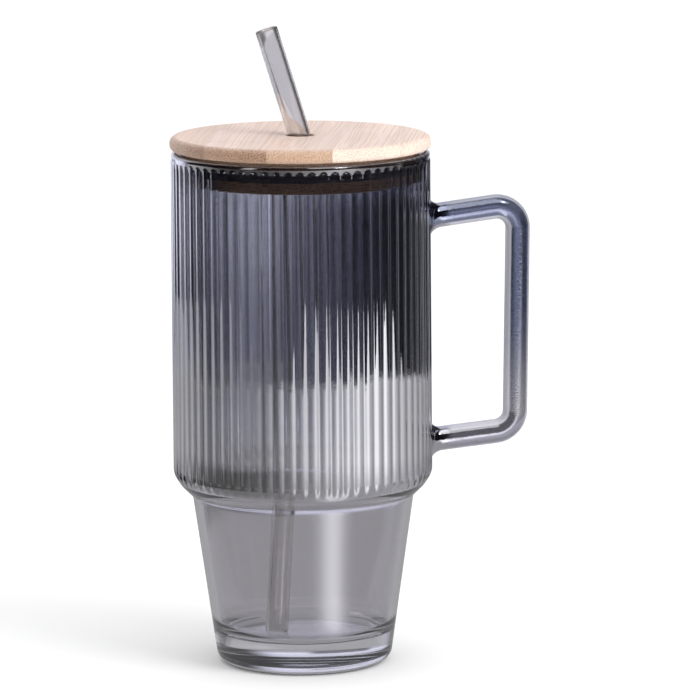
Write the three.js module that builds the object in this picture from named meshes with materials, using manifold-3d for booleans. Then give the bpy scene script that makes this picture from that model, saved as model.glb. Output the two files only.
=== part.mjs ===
// Tall fluted glass mug with a bamboo lid and a bent glass straw.
// Millimetres, +Z up. The origin is the centre of the mug's flat underside, on the table.
// The handle points along +X.

import * as THREE from 'three';
import { mergeVertices } from 'three/addons/utils/BufferGeometryUtils.js';
import Module from 'manifold-3d';

const wasm = await Module();
wasm.setup();

// Driving dimensions of the glass body
const BODY_RADIUS = 46;        // outside, over the crests between the flutes
const MUG_HEIGHT = 184.3;      // table to rim
const FOOT_HEIGHT = 60.2;      // table to the corner where the tapered foot meets the shoulder
const SHOULDER_DROP = 6.1;     // height of the shoulder, corner to corner
const SHOULDER_STEP = 6.5;     // how far the shoulder steps in
const SHOULDER_ROUND = 9;      // outer round of the shoulder
const NECK_ROUND = 3;          // hollow round under the shoulder
const FOOT_TAPER = 8.6;        // how far the foot narrows from the shoulder to the table
const FOOT_ROUND = 4.5;        // round of the bottom corner
const WALL = 3;                // glass thickness of the sides
const BASE_THICKNESS = 11;     // solid glass under the floor of the cup
const FLOOR_ROUND = 6;         // inside corner between floor and wall
const RIM_ROUND = 1;           // fire-polished lip, with a flat land between its two rounds

// Driving dimensions of the flutes
const FLUTE_COUNT = 70;
const FLUTE_DEPTH = 0.7;
const FLUTE_RIM_GAP = 3.2;     // plain band between the rim and the flutes
const FLUTE_SHOULDER_GAP = 1;  // how far above the shoulder's corner the flutes end
const FLUTE_RUNOUT = 2;        // length over which a flute's round end rises to the surface

// Driving dimensions of the handle
const HANDLE_DIAMETER = 8.75;
const HANDLE_UPPER_REACH = 32.1; // wall to the middle of the upright bar at its top corner
const HANDLE_LOWER_REACH = 30.8; // and at its bottom corner
const HANDLE_RIM_DROP = 25.4;  // rim down to the middle of the upper root
const HANDLE_SHOULDER_RISE = 11.9; // shoulder corner up to the middle of the lower root
const HANDLE_CORNER = 7.7;     // centreline radius of the two bends
const UPPER_ARM_SLOPE = 7;     // degrees, both arms climb away from the wall
const LOWER_ARM_SLOPE = 5.6;
const ROOT_FLARE = 3.8;        // how much the rod widens where it is fused to the wall
const WELD_GAP = 0.3;          // room between the handle's solid and the flute crests

// Driving dimensions of the lid
const LID_OVERHANG = 0.3;      // flange radius beyond the glass
const FLANGE_THICKNESS = 4.8;
const FLANGE_TOP_ROUND = 2.3;
const FLANGE_LOW_ROUND = 1.7;
const FIRST_STRIP_WIDTH = 16;  // bamboo strips glued edge to edge, the first one on the -X side
const LAST_STRIP_WIDTH = 8.2;
const MIDDLE_STRIPS = 3;       // of one width, between the first and the last
const STRIP_ANGLE = -13;       // degrees, direction of the grain away from +Y
const GLUE_LINE = 0.25;
const PLUG_DEPTH = 11.3;       // how deep the plug hangs in the mouth
const PLUG_CLEARANCE = 2.4;    // plug to glass
const PLUG_CHAMFER = 1;
const SEAL_DROP = 2.9;         // rim down to the top of the seal ring
const SEAL_HEIGHT = 4.2;
const SEAL_LIP = 1.1;          // thickness of each of the ring's two lips
const SEAL_VALLEY = 0.9;       // depth of the hollow between the lips
const SEAL_CLEARANCE = 0.3;    // seal to glass
const SEAL_FIT = 0.1;          // ring to the walls of its groove
const GROOVE_DEPTH = 2;

// Driving dimensions of the straw
const STRAW_DIAMETER = 8;
const STRAW_WALL = 1.1;
const STRAW_RISE = 37.6;       // lid top to the middle of the straw's upper end
const STRAW_UPPER_LEAN = 17;   // degrees from upright
const STRAW_UPPER_HEADING = 172; // degrees from +X
const STRAW_LOWER_LEAN = 4.2;
const STRAW_LOWER_HEADING = 211;
const STRAW_BEND_RADIUS = 20;  // centreline radius of the bend
const STRAW_BEND_DEPTH = 2;    // lid top down to the corner of the bend
const STRAW_FLOOR_GAP = 0.3;
const HOLE_CLEARANCE = 0.25;   // straw to the lid's hole, at rest and as it is drawn out

// Facets
const ARC_SAG = 0.12;          // how far a facet may lie inside the arc that it stands for
const FLARE_STEPS = 4;
const LATHE_SEGMENTS = 48;
const ROD_SIDES = 16;
const BEND_STEPS = 6;
const CUT_MARGIN = 1;          // cutting tools reach this far past the face they cut
const MERGE_TOLERANCE = 1e-4;

// Places worked out from the driving dimensions
const SHOULDER_Z = FOOT_HEIGHT + SHOULDER_DROP;
const NECK_RADIUS = BODY_RADIUS - SHOULDER_STEP;
const FOOT_RADIUS = NECK_RADIUS - FOOT_TAPER;
const MOUTH_RADIUS = BODY_RADIUS - WALL;
const LIP_ROUND = Math.min(RIM_ROUND, WALL / 3); // held back where the wall is too thin for it
const FLUTE_TOP_Z = MUG_HEIGHT - FLUTE_RIM_GAP;
const FLUTE_FOOT_Z = SHOULDER_Z + FLUTE_SHOULDER_GAP;
const LID_RADIUS = BODY_RADIUS + LID_OVERHANG;
const LID_TOP_Z = MUG_HEIGHT + FLANGE_THICKNESS;
const PLUG_FOOT_Z = MUG_HEIGHT - PLUG_DEPTH;
const PLUG_RADIUS = MOUTH_RADIUS - PLUG_CLEARANCE;
const STRAW_RADIUS = STRAW_DIAMETER / 2;

const radians = THREE.MathUtils.degToRad;

// Solids

// Turns a closed three.js geometry into a solid that can be joined and cut.
function solidOf(geometry) {
  const bare = new THREE.BufferGeometry();
  bare.setAttribute('position', geometry.getAttribute('position'));
  bare.setIndex(geometry.getIndex());
  const merged = mergeVertices(bare, MERGE_TOLERANCE);
  const corners = merged.getIndex().array;
  const kept = [];
  for (let i = 0; i < corners.length; i += 3) {
    const [a, b, c] = corners.slice(i, i + 3);
    if (a !== b && b !== c && c !== a) kept.push(a, b, c);
  }
  const mesh = new wasm.Mesh({
    numProp: 3,
    vertProperties: new Float32Array(merged.getAttribute('position').array),
    triVerts: new Uint32Array(kept),
  });
  return new wasm.Manifold(mesh);
}

function geometryOf(solid) {
  const mesh = solid.getMesh();
  const geometry = new THREE.BufferGeometry();
  geometry.setAttribute('position', new THREE.BufferAttribute(mesh.vertProperties, 3));
  geometry.setIndex(new THREE.BufferAttribute(mesh.triVerts, 1));
  return geometry;
}

// Profile corners are {r, z, round}. Each inner corner is replaced by an arc of its round,
// which is held back where the two sides are too short for it.
function roundedProfile(corners) {
  const at = corners.map(({ r, z }) => new THREE.Vector2(r, z));
  const points = [at[0]];
  for (let i = 1; i < at.length - 1; i += 1) {
    points.push(...roundedCorner(at[i - 1], at[i], at[i + 1], corners[i].round ?? 0));
  }
  points.push(at[at.length - 1]);
  return points;
}

function roundedCorner(before, corner, after, round) {
  if (round === 0) return [corner];
  const back = before.clone().sub(corner);
  const ahead = after.clone().sub(corner);
  const room = Math.min(back.length(), ahead.length()) / 2;
  back.normalize();
  ahead.normalize();
  const half = Math.acos(back.dot(ahead)) / 2;
  const tangent = Math.min(round / Math.tan(half), room);
  const radius = tangent * Math.tan(half);
  const middle = back.clone().add(ahead).normalize();
  const centre = corner.clone().addScaledVector(middle, radius / Math.sin(half));
  const first = corner.clone().addScaledVector(back, tangent).sub(centre);
  const last = corner.clone().addScaledVector(ahead, tangent).sub(centre);
  const sweep = Math.PI - 2 * half;
  const steps = Math.ceil(sweep / (2 * Math.acos(1 - Math.min(ARC_SAG / radius, 1))));
  const points = [];
  for (let i = 0; i <= steps; i += 1) {
    const turn = (i / steps) * sweep;
    const share = Math.sin(sweep - turn) / Math.sin(sweep);
    const other = Math.sin(turn) / Math.sin(sweep);
    points.push(centre.clone().addScaledVector(first, share).addScaledVector(last, other));
  }
  return points;
}

// Turns a profile of (radius, height) points round the Z axis.
function turned(points, segments = LATHE_SEGMENTS) {
  return new THREE.LatheGeometry(points, segments).rotateX(Math.PI / 2);
}

// A round bar along Z, from low to high.
function upright(radius, low, high, segments = LATHE_SEGMENTS) {
  const bar = new THREE.CylinderGeometry(radius, radius, high - low, segments);
  return bar.rotateX(Math.PI / 2).translate(0, 0, (low + high) / 2);
}

// A route through key points, with one step from each key to the next.
class Route extends THREE.Curve {
  constructor(keys) {
    super();
    this.keys = keys;
  }

  getPoint(t, target = new THREE.Vector3()) {
    const place = t * (this.keys.length - 1);
    const from = Math.min(Math.floor(place), this.keys.length - 2);
    return target.lerpVectors(this.keys[from], this.keys[from + 1], place - from);
  }

  getUtoTmapping(u) {
    return u;
  }
}

// Carries a flat shape along the key points.
function swept(shape, keys) {
  return new THREE.ExtrudeGeometry(shape, {
    steps: keys.length - 1,
    extrudePath: new Route(keys),
    curveSegments: ROD_SIDES / 2, // a full circle takes two points for each segment
  });
}

function disc(radius) {
  return new THREE.Shape().absarc(0, 0, radius, 0, 2 * Math.PI);
}

// Key points of a bend of one radius at a corner, between two unit directions of travel.
function bendKeys(corner, into, out, radius) {
  const angle = into.angleTo(out);
  const start = corner.clone().addScaledVector(into, -radius * Math.tan(angle / 2));
  const side = out.clone().addScaledVector(into, -out.dot(into)).normalize();
  const keys = [];
  for (let i = 0; i <= BEND_STEPS; i += 1) {
    const turn = (i / BEND_STEPS) * angle;
    const key = start.clone().addScaledVector(into, radius * Math.sin(turn));
    keys.push(key.addScaledVector(side, radius * (1 - Math.cos(turn))));
  }
  return keys;
}

// Glass body

const outerCorners = [
  { r: 0, z: 0 },
  { r: FOOT_RADIUS, z: 0, round: FOOT_ROUND },
  { r: NECK_RADIUS, z: FOOT_HEIGHT, round: NECK_ROUND },
  { r: BODY_RADIUS, z: SHOULDER_Z, round: SHOULDER_ROUND },
  { r: BODY_RADIUS, z: MUG_HEIGHT, round: LIP_ROUND },
  { r: 0, z: MUG_HEIGHT },
];

// Adds a profile point at each height, on the wall between the points that are there.
function withRows(points, heights) {
  const rows = [...points];
  for (const z of heights) {
    const above = rows.findIndex((point) => point.y > z);
    const [low, high] = [rows[above - 1], rows[above]];
    const share = (z - low.y) / (high.y - low.y);
    rows.splice(above, 0, low.clone().lerp(high, share));
  }
  return rows;
}

// Depth of the flutes below the crests: a cosine across each flute, with rounded ends.
function fluteDepth(angle, z) {
  const across = 0.5 + 0.5 * Math.cos(FLUTE_COUNT * angle);
  const fromEnd = Math.min(FLUTE_TOP_Z - z, z - FLUTE_FOOT_Z) / FLUTE_RUNOUT;
  const end = THREE.MathUtils.clamp(fromEnd, 0, 1);
  return FLUTE_DEPTH * across * Math.sqrt(end * (2 - end));
}

function flutedOutside() {
  const runout = [FLUTE_RUNOUT, 0];
  const rows = [...runout.map((d) => FLUTE_FOOT_Z + d), ...runout.map((d) => FLUTE_TOP_Z - d)];
  const profile = withRows(roundedProfile(outerCorners), rows);
  const geometry = turned(profile, 2 * FLUTE_COUNT);
  const position = geometry.getAttribute('position');
  for (let i = 0; i < position.count; i += 1) {
    const [x, y, z] = [position.getX(i), position.getY(i), position.getZ(i)];
    const radius = Math.hypot(x, y);
    if (radius > 0) {
      const share = 1 - fluteDepth(Math.atan2(y, x), z) / radius;
      position.setXY(i, x * share, y * share);
    }
  }
  return geometry;
}

// The line through two corners, moved inwards by the glass thickness.
function innerLine(low, high) {
  const along = new THREE.Vector2(high.r - low.r, high.z - low.z).normalize();
  const inward = new THREE.Vector2(-along.y, along.x);
  return { point: new THREE.Vector2(low.r, low.z).addScaledVector(inward, WALL), along };
}

function meet(one, other) {
  const gap = other.point.clone().sub(one.point);
  const step = gap.cross(other.along) / one.along.cross(other.along);
  return one.point.clone().addScaledVector(one.along, step);
}

function cavity() {
  const [, foot, neck, shoulder, rim] = outerCorners;
  const lines = [innerLine(foot, neck), innerLine(neck, shoulder), innerLine(shoulder, rim)];
  const floor = { point: new THREE.Vector2(0, BASE_THICKNESS), along: new THREE.Vector2(1, 0) };
  const floorCorner = meet(floor, lines[0]);
  const innerNeck = meet(lines[0], lines[1]);
  const innerShoulder = meet(lines[1], lines[2]);
  const flare = MOUTH_RADIUS + LIP_ROUND;
  return turned(roundedProfile([
    { r: 0, z: BASE_THICKNESS },
    { r: floorCorner.x, z: floorCorner.y, round: FLOOR_ROUND },
    { r: innerNeck.x, z: innerNeck.y, round: NECK_ROUND + WALL },
    { r: innerShoulder.x, z: innerShoulder.y, round: Math.max(SHOULDER_ROUND - WALL, 0) },
    { r: MOUTH_RADIUS, z: MUG_HEIGHT - LIP_ROUND },
    { r: flare, z: MUG_HEIGHT },
    { r: flare, z: MUG_HEIGHT + CUT_MARGIN },
    { r: 0, z: MUG_HEIGHT + CUT_MARGIN },
  ]));
}

function glassBody() {
  return geometryOf(solidOf(flutedOutside()).subtract(solidOf(cavity())));
}

// Glass handle

// A trumpet-shaped root: wide at the wall, down to the rod one flare away, and slanted with its arm.
function rootFlare(root, slope) {
  const rod = HANDLE_DIAMETER / 2;
  const profile = [new THREE.Vector2(0, -WALL), new THREE.Vector2(rod + ROOT_FLARE, -WALL)];
  for (let i = 0; i <= FLARE_STEPS; i += 1) {
    const turn = (i / FLARE_STEPS) * Math.PI / 2;
    const widening = ROOT_FLARE * (1 - Math.sin(turn));
    profile.push(new THREE.Vector2(rod + widening, WELD_GAP + ROOT_FLARE * (1 - Math.cos(turn))));
  }
  const tip = WELD_GAP + ROOT_FLARE + CUT_MARGIN;
  profile.push(new THREE.Vector2(rod - CUT_MARGIN, tip), new THREE.Vector2(0, tip));
  const geometry = new THREE.LatheGeometry(profile, ROD_SIDES).rotateZ(-Math.PI / 2);
  const slant = new THREE.Matrix4().makeShear(0, Math.tan(slope), 0, 0, 0, 0);
  return geometry.applyMatrix4(slant).translate(root.x, root.y, root.z);
}

function glassHandle() {
  const [upSlope, lowSlope] = [radians(UPPER_ARM_SLOPE), radians(LOWER_ARM_SLOPE)];
  const outAlongUpper = new THREE.Vector3(Math.cos(upSlope), 0, Math.sin(upSlope));
  const outAlongLower = new THREE.Vector3(Math.cos(lowSlope), 0, Math.sin(lowSlope));
  const upperRoot = new THREE.Vector3(BODY_RADIUS, 0, MUG_HEIGHT - HANDLE_RIM_DROP);
  const lowerRoot = new THREE.Vector3(BODY_RADIUS, 0, SHOULDER_Z + HANDLE_SHOULDER_RISE);
  const upperCorner = upperRoot.clone().addScaledVector(outAlongUpper, HANDLE_UPPER_REACH / outAlongUpper.x);
  const lowerCorner = lowerRoot.clone().addScaledVector(outAlongLower, HANDLE_LOWER_REACH / outAlongLower.x);
  const down = lowerCorner.clone().sub(upperCorner).normalize();
  const keys = [
    upperRoot.clone().addScaledVector(outAlongUpper, -WALL),
    ...bendKeys(upperCorner, outAlongUpper, down, HANDLE_CORNER),
    ...bendKeys(lowerCorner, down, outAlongLower.clone().negate(), HANDLE_CORNER),
    lowerRoot.clone().addScaledVector(outAlongLower, -WALL),
  ];
  const rod = solidOf(swept(disc(HANDLE_DIAMETER / 2), keys));
  const upper = solidOf(rootFlare(upperRoot, upSlope));
  const lower = solidOf(rootFlare(lowerRoot, lowSlope));
  const wall = solidOf(upright(BODY_RADIUS + WELD_GAP, 0, MUG_HEIGHT, 2 * LATHE_SEGMENTS));
  return geometryOf(rod.add(upper).add(lower).subtract(wall));
}

// Straw

function heading(lean, towards) {
  const [tilt, turn] = [radians(lean), radians(towards)];
  const out = Math.sin(tilt);
  return new THREE.Vector3(out * Math.cos(turn), out * Math.sin(turn), Math.cos(tilt));
}

// The lower leg crosses the lid's axis halfway down the hole, so it clears the hole evenly.
const strawUpper = heading(STRAW_UPPER_LEAN, STRAW_UPPER_HEADING);
const strawLower = heading(-STRAW_LOWER_LEAN, STRAW_LOWER_HEADING);
const strawCrossing = new THREE.Vector3(0, 0, (LID_TOP_Z + PLUG_FOOT_Z) / 2);

function onLowerLeg(z) {
  return strawCrossing.clone().addScaledVector(strawLower, (z - strawCrossing.z) / strawLower.z);
}

const strawCorner = onLowerLeg(LID_TOP_Z - STRAW_BEND_DEPTH);
const strawFoot = onLowerLeg(BASE_THICKNESS + STRAW_FLOOR_GAP
  + STRAW_RADIUS * Math.sin(radians(STRAW_LOWER_LEAN)));
const strawTip = strawCorner.clone().addScaledVector(
  strawUpper,
  (STRAW_RISE + STRAW_BEND_DEPTH) / strawUpper.z,
);
const strawBend = bendKeys(strawCorner, strawLower, strawUpper, STRAW_BEND_RADIUS);

// How far from the lid's axis a leg with this centre and direction reaches at one height.
function reachAt(centre, along) {
  return Math.hypot(centre.x, centre.y) + STRAW_RADIUS / along.z;
}

// The hole clears the bent straw at rest and the straight lower leg as it is drawn out.
function holeRadius() {
  const overTop = strawCorner.clone().addScaledVector(strawUpper, STRAW_BEND_DEPTH / strawUpper.z);
  const atRest = reachAt(overTop, strawUpper);
  const drawnOut = Math.max(...[LID_TOP_Z, PLUG_FOOT_Z].map((z) => reachAt(onLowerLeg(z), strawLower)));
  return Math.max(atRest, drawnOut) + HOLE_CLEARANCE;
}

const HOLE_RADIUS = holeRadius();

function glassStraw() {
  const ring = disc(STRAW_RADIUS);
  ring.holes.push(new THREE.Path().absarc(0, 0, STRAW_RADIUS - STRAW_WALL, 0, 2 * Math.PI, true));
  return geometryOf(solidOf(swept(ring, [strawFoot, ...strawBend, strawTip])));
}

// Lid, made with its flange's underside at z = 0

function flangeSolid() {
  const flange = solidOf(turned(roundedProfile([
    { r: 0, z: 0 },
    { r: LID_RADIUS, z: 0, round: FLANGE_LOW_ROUND },
    { r: LID_RADIUS, z: FLANGE_THICKNESS, round: FLANGE_TOP_ROUND },
    { r: 0, z: FLANGE_THICKNESS },
  ])));
  const hole = upright(HOLE_RADIUS, -CUT_MARGIN, FLANGE_THICKNESS + CUT_MARGIN, LATHE_SEGMENTS / 2);
  return flange.subtract(solidOf(hole));
}

// Glue lines across the lid: the outer strips keep their widths and the middle ones share the rest.
function glueLines() {
  const first = -LID_RADIUS + FIRST_STRIP_WIDTH;
  const last = LID_RADIUS - LAST_STRIP_WIDTH;
  const lines = [];
  for (let i = 0; i <= MIDDLE_STRIPS; i += 1) {
    lines.push(first + (i / MIDDLE_STRIPS) * (last - first));
  }
  return lines;
}

function lidStrips() {
  const flange = flangeSolid();
  const edge = LID_RADIUS + CUT_MARGIN;
  const sides = [-edge, ...glueLines(), edge];
  const tall = FLANGE_THICKNESS + 2 * CUT_MARGIN;
  const strips = [];
  for (let i = 1; i < sides.length; i += 1) {
    const [left, right] = [sides[i - 1], sides[i]];
    const block = new THREE.BoxGeometry(right - left - GLUE_LINE, 2 * edge, tall);
    block.translate((left + right) / 2, 0, FLANGE_THICKNESS / 2).rotateZ(radians(STRIP_ANGLE));
    strips.push(geometryOf(flange.intersect(solidOf(block))));
  }
  return strips;
}

const GROOVE_RADIUS = PLUG_RADIUS - GROOVE_DEPTH;

function lidPlug() {
  const grooveTop = -SEAL_DROP + SEAL_FIT;
  const grooveFoot = -SEAL_DROP - SEAL_HEIGHT - SEAL_FIT;
  const corners = [
    [HOLE_RADIUS, -PLUG_DEPTH],
    [PLUG_RADIUS - PLUG_CHAMFER, -PLUG_DEPTH],
    [PLUG_RADIUS, -PLUG_DEPTH + PLUG_CHAMFER],
    [PLUG_RADIUS, grooveFoot],
    [GROOVE_RADIUS, grooveFoot],
    [GROOVE_RADIUS, grooveTop],
    [PLUG_RADIUS, grooveTop],
    [PLUG_RADIUS, 0],
    [HOLE_RADIUS, 0],
    [HOLE_RADIUS, -PLUG_DEPTH],
  ];
  const profile = corners.map(([r, z]) => new THREE.Vector2(r, z));
  return geometryOf(solidOf(turned(profile)));
}

// A seal ring with an upper and a lower lip.
function sealRing() {
  const inner = GROOVE_RADIUS + SEAL_FIT;
  const outer = MOUTH_RADIUS - SEAL_CLEARANCE;
  const [top, foot] = [-SEAL_DROP, -SEAL_DROP - SEAL_HEIGHT];
  const corners = [
    [inner, foot],
    [outer, foot],
    [outer, foot + SEAL_LIP],
    [outer - SEAL_VALLEY, (top + foot) / 2],
    [outer, top - SEAL_LIP],
    [outer, top],
    [inner, top],
    [inner, foot],
  ];
  const profile = corners.map(([r, z]) => new THREE.Vector2(r, z));
  return geometryOf(solidOf(turned(profile)));
}

// Materials

const smokedGlass = new THREE.MeshStandardMaterial({
  color: 0x5b5d6b, roughness: 0.05, metalness: 0.35, transparent: true, opacity: 0.6,
});
const strawGlass = new THREE.MeshStandardMaterial({
  color: 0x8f9296, roughness: 0.05, metalness: 0.1, transparent: true, opacity: 0.5,
});
const bamboo = new THREE.MeshStandardMaterial({ color: 0xe8d1c0, roughness: 0.6, metalness: 0 });
const plugBamboo = new THREE.MeshStandardMaterial({ color: 0xa98d74, roughness: 0.65, metalness: 0 });
const silicone = new THREE.MeshStandardMaterial({ color: 0x2e2b2e, roughness: 0.55, metalness: 0 });

// Assembly

function piece(name, geometry, material) {
  const mesh = new THREE.Mesh(geometry, material);
  mesh.name = name;
  return mesh;
}

const mug = new THREE.Group();
mug.add(piece('glass_body', glassBody(), smokedGlass));
mug.add(piece('glass_handle', glassHandle(), smokedGlass));

const lid = new THREE.Group();
lid.position.z = MUG_HEIGHT;
lidStrips().forEach((strip, i) => lid.add(piece(`lid_strip_${i + 1}`, strip, bamboo)));
lid.add(piece('lid_plug', lidPlug(), plugBamboo));
lid.add(piece('seal_ring', sealRing(), silicone));

const mugWithLid = new THREE.Group();
mugWithLid.add(mug, lid, piece('straw', glassStraw(), strawGlass));

export default mugWithLid;
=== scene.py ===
"""Looks of a tall reeded glass mug with a bamboo lid and a bent glass straw, built round its frame.

Sizes are in millimetres until a mesh is made, in the frame's own axes: +Z up, the handle along +X,
the origin in the middle of the mug's underside.
"""

from __future__ import annotations

import logging
import math
from collections.abc import Sequence
from dataclasses import dataclass
from enum import Enum
from typing import Any

import bmesh
import bpy
import numpy as np
from bpy.types import Material, Mesh, Node, NodeSocket, Object
from mathutils import Matrix, Vector

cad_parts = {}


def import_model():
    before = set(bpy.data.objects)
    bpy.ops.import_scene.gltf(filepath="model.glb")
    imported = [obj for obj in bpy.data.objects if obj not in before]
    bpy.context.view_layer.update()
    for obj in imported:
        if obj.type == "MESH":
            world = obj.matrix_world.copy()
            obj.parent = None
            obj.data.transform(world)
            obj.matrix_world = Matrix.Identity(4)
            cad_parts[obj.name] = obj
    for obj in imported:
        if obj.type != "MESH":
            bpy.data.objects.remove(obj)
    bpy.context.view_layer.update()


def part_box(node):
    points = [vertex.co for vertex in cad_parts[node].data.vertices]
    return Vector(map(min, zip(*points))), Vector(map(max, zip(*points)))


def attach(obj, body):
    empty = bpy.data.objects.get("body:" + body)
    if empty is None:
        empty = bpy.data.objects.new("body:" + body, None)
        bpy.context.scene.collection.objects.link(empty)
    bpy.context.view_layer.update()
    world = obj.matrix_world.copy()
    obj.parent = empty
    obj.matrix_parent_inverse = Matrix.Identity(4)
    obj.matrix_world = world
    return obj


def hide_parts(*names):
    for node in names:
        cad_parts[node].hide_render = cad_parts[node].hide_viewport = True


Pair = tuple[float, float]
Triple = tuple[float, float, float]
Edges = tuple[float, float, float, float]

LOG = logging.getLogger("mug")
MM = 0.001                    # metres in a millimetre
MERGE_DISTANCE = 1e-7         # metres, closes the poles of a turned surface
HOLD = 0.35                   # mm, a row this close to each round keeps the flats beside it flat
GRAIN_ANGLE = -13.0           # degrees from +Y, the way that the lid's bamboo runs
STRIP_SHIFT = 40.0            # mm along the grain from one strip's streaks to the next one's
GLASS_IOR = 1.5
SMOOTH = {"interpolation_type": "SMOOTHSTEP"}
NUMBERS = {"data_type": "FLOAT"}
COLOURS = {"data_type": "RGBA"}
TIMES = {"operation": "MULTIPLY"}
NOISE_LOW, NOISE_HIGH = 0.3, 0.7  # the range that most of a noise lies in
BY, NUMBER_A, NUMBER_B, COLOUR_A, COLOUR_B = 0, 2, 3, 6, 7  # a Mix node's inputs


class Body(str, Enum):
    """The frame's bodies, which the pieces ride on."""

    MUG = "mug"
    LID = "lid"
    STRAW = "straw"


class Slot(str, Enum):
    """The record's material slots."""

    SMOKED_GLASS = "smoked_glass"
    STRAW_GLASS = "straw_glass"
    BAMBOO = "bamboo"
    PLUG_BAMBOO = "plug_bamboo"
    SEAL = "seal_silicone"


# Curves and surfaces


def ease(value: np.ndarray, low: float, high: float) -> np.ndarray:
    """Smooth step: 0 below low, 1 above high, and 3t² - 2t³ between them."""
    t = np.clip((value - low) / (high - low), 0, 1)
    return t * t * (3 - 2 * t)


def unit(vector: np.ndarray) -> np.ndarray:
    """The vector, or each row of an array of them, at length 1."""
    return vector / np.linalg.norm(vector, axis=-1, keepdims=True)


def fillet(
    before: np.ndarray, corner: np.ndarray, after: np.ndarray, radius: float, steps: int,
) -> np.ndarray:
    """The arc that rounds a corner, with one point on each side just before and after it.

    The arc turns from the first tangent point to the second: its centre plus the two spokes, weighted
    by the sines of the angle to go and the angle done.

    Args:
        before: The corner that comes first.
        corner: The corner to round.
        after: The corner that comes next.
        radius: The arc's radius, 0 for a sharp corner.
        steps: How many chords stand for the arc.

    Returns:
        The points in order, one in each row.
    """
    if radius == 0:
        return corner[None]
    back, ahead = unit(before - corner), unit(after - corner)
    half = math.acos(float(np.clip(back @ ahead, -1, 1))) / 2
    tangent = radius / math.tan(half)
    centre = corner + unit(back + ahead) * radius / math.sin(half)
    first = corner + back * tangent - centre
    last = corner + ahead * tangent - centre
    sweep = math.pi - 2 * half
    turn = np.linspace(0, sweep, steps + 1)[:, None]
    arc = centre + (np.sin(sweep - turn) * first + np.sin(turn) * last) / math.sin(sweep)
    lead_in = corner + back * (tangent + HOLD)
    lead_out = corner + ahead * (tangent + HOLD)
    return np.vstack([lead_in, arc, lead_out])


def rounded(corners: Sequence[tuple[float, ...]], steps: int = 10, closed: bool = False) -> np.ndarray:
    """A line through corners, each rounded by its own radius.

    Args:
        corners: The corner's coordinates, then its radius.
        steps: Chords in each arc.
        closed: Whether the last corner joins the first, which are kept sharp otherwise.

    Returns:
        The points in order, one in each row.
    """
    at = np.array(corners, float)
    places, radii = at[:, :-1], at[:, -1].copy()
    if not closed:
        radii[[0, -1]] = 0
    before, after = np.roll(places, 1, axis=0), np.roll(places, -1, axis=0)
    runs = [fillet(*ends, radius, steps) for *ends, radius in zip(before, places, after, radii)]
    return np.concatenate(runs)


def lengths_along(path: np.ndarray) -> np.ndarray:
    """The length from the start of a path to each of its points."""
    return np.concatenate([[0], np.cumsum(np.linalg.norm(np.diff(path, axis=0), axis=1))])


def along(path: np.ndarray, stations: np.ndarray) -> np.ndarray:
    """The points of a path at the given lengths from its start."""
    travelled = lengths_along(path)
    return np.stack([np.interp(stations, travelled, axis) for axis in path.T], axis=1)


def turned(profile: np.ndarray, columns: int) -> np.ndarray:
    """A profile carried round the Z axis: (r cos a, r sin a, z).

    Args:
        profile: Rows of radius r and height z.
        columns: Points in each turn.

    Returns:
        A grid of points: rows of the profile by columns by xyz.
    """
    angle = np.linspace(0, 2 * np.pi, columns, endpoint=False)
    radius, height = profile[:, :1], profile[:, 1:]
    rows = [radius * np.cos(angle), radius * np.sin(angle), height + 0 * angle]
    return np.stack(rows, axis=-1)


def carried(
    centres: np.ndarray, tangents: np.ndarray, normal: np.ndarray, radii: np.ndarray, columns: int,
) -> np.ndarray:
    """Rings of given radii carried along a flat path: centre + r (cos a N + sin a T×N).

    Args:
        centres: The middle of each ring.
        tangents: The unit direction of travel at each ring.
        normal: The unit normal N of the plane that the path lies in.
        radii: The radius of each ring.
        columns: Points round each ring.

    Returns:
        A grid of points: rings by columns by xyz.
    """
    angle = np.linspace(0, 2 * np.pi, columns, endpoint=False)[None, :, None]
    across = np.cross(tangents, normal)[:, None, :]
    spokes = np.cos(angle) * normal + np.sin(angle) * across
    return centres[:, None, :] + radii[:, None, None] * spokes


def grid_object(
    name: str, grid: np.ndarray, closed_rows: bool = False, inner_from: int | None = None,
    outward: np.ndarray | None = None,
) -> Object:
    """Makes a mesh object from a grid of points whose columns join up.

    Args:
        name: The object's name.
        grid: Points in millimetres, rows by columns by xyz. A row of equal points becomes a pole.
        closed_rows: Whether the last row joins the first.
        inner_from: The first row whose faces take the second material, if there is one.
        outward: A mark for each point that a material can read, if there is one.

    Returns:
        The new object, smooth shaded, at the origin.
    """
    rows, columns = grid.shape[:2]
    i = np.arange(rows if closed_rows else rows - 1)[:, None]
    j = np.arange(columns)[None, :]
    low, high = i * columns, (i + 1) % rows * columns
    ahead = (j + 1) % columns
    corners = np.stack([low + j, low + ahead, high + ahead, high + j], axis=-1).reshape(-1, 4)
    mesh = bpy.data.meshes.new(name)
    mesh.vertices.add(rows * columns)
    mesh.vertices.foreach_set("co", (grid * MM).astype(np.float32).ravel())
    mesh.loops.add(corners.size)
    mesh.loops.foreach_set("vertex_index", corners.astype(np.int32).ravel())
    mesh.polygons.add(len(corners))
    mesh.polygons.foreach_set("loop_start", np.arange(0, corners.size, 4, dtype=np.int32))
    mesh.polygons.foreach_set("use_smooth", np.ones(len(corners), bool))
    if inner_from is not None:
        inner = np.repeat(i[:, 0] >= inner_from, columns)
        mesh.polygons.foreach_set("material_index", inner.astype(np.int32))
    if outward is not None:
        layer = mesh.attributes.new("outward", "FLOAT", "POINT")
        layer.data.foreach_set("value", outward.astype(np.float32).ravel())
    mesh.update(calc_edges=True)
    weld(mesh)
    return stand(name, mesh)


def stand(name: str, data: bpy.types.ID) -> Object:
    """Puts an object with the given data into the scene, at the origin.

    Args:
        name: The object's name.
        data: Its mesh, camera or light.

    Returns:
        The new object.
    """
    made = bpy.data.objects.new(name, data)
    bpy.context.scene.collection.objects.link(made)
    return made


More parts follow.
